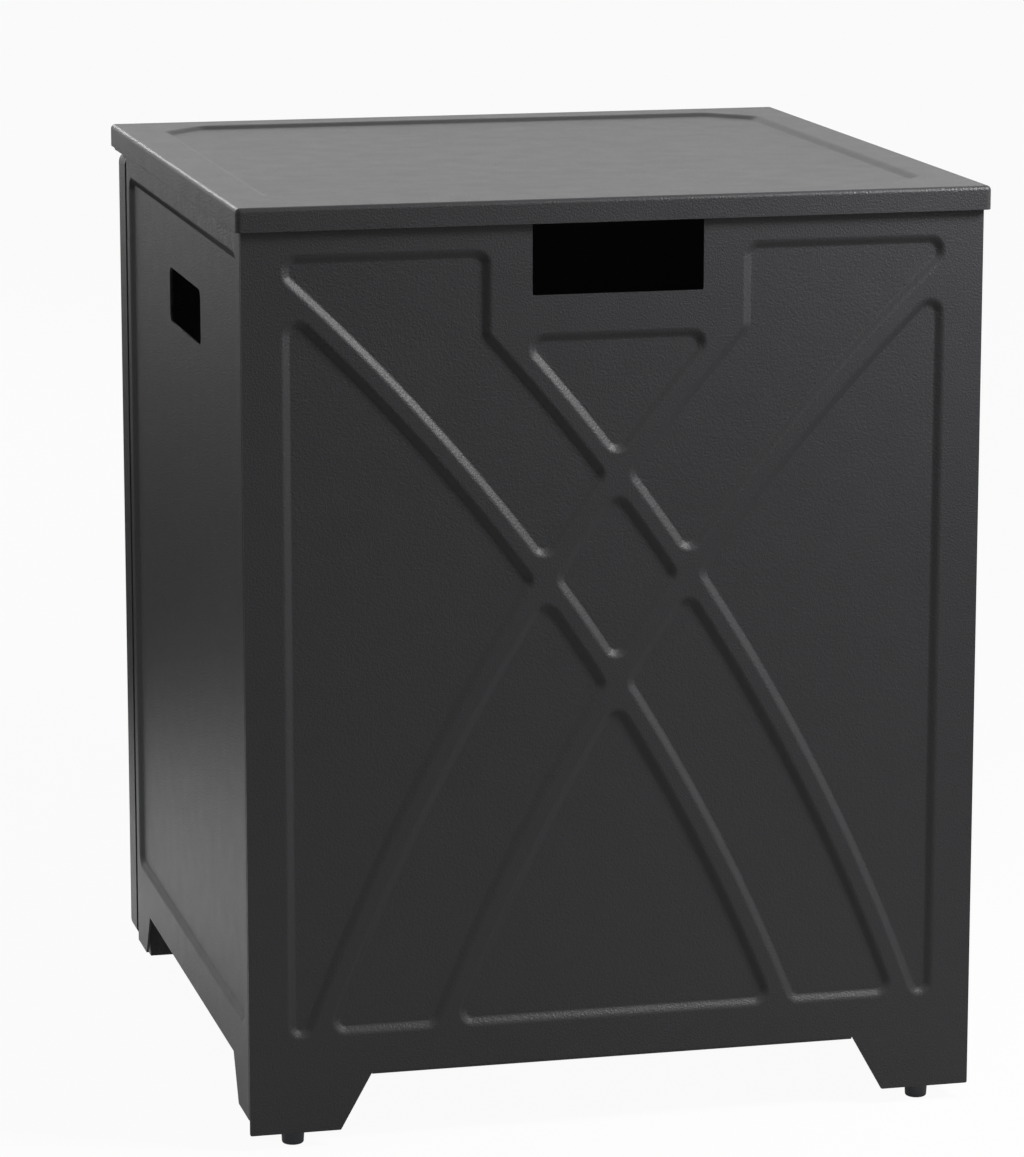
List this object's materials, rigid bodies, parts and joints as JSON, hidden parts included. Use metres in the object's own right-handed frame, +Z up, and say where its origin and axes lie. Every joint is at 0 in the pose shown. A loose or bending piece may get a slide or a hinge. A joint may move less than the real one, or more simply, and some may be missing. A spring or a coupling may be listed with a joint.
{
  "type": "gas bottle cover side table",
  "caption": "Square sheet-steel side table that hides a gas bottle: pressed cabinet open below, lift-off top, rear door, hand holes, hose opening and screw feet.",
  "frame": {"origin": "on the floor, under the middle of the square top", "axes": "+Z up, front (the pressed panel with the hose opening) towards -Y, door at the back towards +Y, +X to the right seen from the front"},
  "size_m": [0.409, 0.409, 0.508],
  "materials": {
    "charcoal_paint": "powder coat in charcoal grey with a fine grain",
    "zinc_steel": "bright zinc plating",
    "black_plastic": "matt black moulded plastic"
  },
  "bodies": {
    "cabinet": {"front_panel": "charcoal_paint", "left_panel": "charcoal_paint", "right_panel": "charcoal_paint", "rear_top_rail": "charcoal_paint", "rear_bottom_rail": "charcoal_paint", "foot_bracket_front_left": "charcoal_paint", "foot_bracket_front_right": "charcoal_paint", "foot_bracket_rear_left": "charcoal_paint", "foot_bracket_rear_right": "charcoal_paint", "leveler_nut_front_left": "zinc_steel", "leveler_nut_front_right": "zinc_steel", "leveler_nut_rear_left": "zinc_steel", "leveler_nut_rear_right": "zinc_steel", "door_pin_top": "zinc_steel", "door_pin_bottom": "zinc_steel", "magnet_catch": "black_plastic", "magnet_screw_1": "zinc_steel", "magnet_screw_2": "zinc_steel", "panel_nut_left_1": "zinc_steel", "panel_nut_left_2": "zinc_steel", "panel_nut_left_3": "zinc_steel", "panel_nut_right_1": "zinc_steel", "panel_nut_right_2": "zinc_steel", "panel_nut_right_3": "zinc_steel", "panel_stud_left_1": "zinc_steel", "panel_stud_left_2": "zinc_steel", "panel_stud_left_3": "zinc_steel", "panel_stud_right_1": "zinc_steel", "panel_stud_right_2": "zinc_steel", "panel_stud_right_3": "zinc_steel", "top_rail_screw_left_1": "zinc_steel", "top_rail_screw_left_2": "zinc_steel", "top_rail_screw_right_1": "zinc_steel", "top_rail_screw_right_2": "zinc_steel", "bottom_rail_screw_left": "zinc_steel", "bottom_rail_screw_right": "zinc_steel"},
    "lid": {"lid": "charcoal_paint", "lid_stiffener_left": "charcoal_paint", "lid_stiffener_right": "charcoal_paint"},
    "door": {"rear_door": "charcoal_paint"},
    "leveler_front_left": {"leveler_stud_front_left": "zinc_steel", "leveler_pad_front_left": "black_plastic"},
    "leveler_front_right": {"leveler_stud_front_right": "zinc_steel", "leveler_pad_front_right": "black_plastic"},
    "leveler_rear_left": {"leveler_stud_rear_left": "zinc_steel", "leveler_pad_rear_left": "black_plastic"},
    "leveler_rear_right": {"leveler_stud_rear_right": "zinc_steel", "leveler_pad_rear_right": "black_plastic"}
  },
  "joints": [
    {"name": "lid_lift", "type": "slide", "parent": "cabinet", "child": "lid", "axis": [0, 0, 1], "range_m": [0, 0.1]},
    {"name": "door_hinge", "type": "hinge", "parent": "cabinet", "child": "door", "pos_m": [0.19297, 0.18597, 0.255], "axis": [0, 0, -1], "range_deg": [0, 180]},
    {"name": "leveler_front_left_screw", "type": "slide", "parent": "cabinet", "child": "leveler_front_left", "axis": [0, 0, -1], "range_m": [-0.006, 0.012]},
    {"name": "leveler_front_right_screw", "type": "slide", "parent": "cabinet", "child": "leveler_front_right", "axis": [0, 0, -1], "range_m": [-0.006, 0.012]},
    {"name": "leveler_rear_left_screw", "type": "slide", "parent": "cabinet", "child": "leveler_rear_left", "axis": [0, 0, -1], "range_m": [-0.006, 0.012]},
    {"name": "leveler_rear_right_screw", "type": "slide", "parent": "cabinet", "child": "leveler_rear_right", "axis": [0, 0, -1], "range_m": [-0.006, 0.012]}
  ]
}
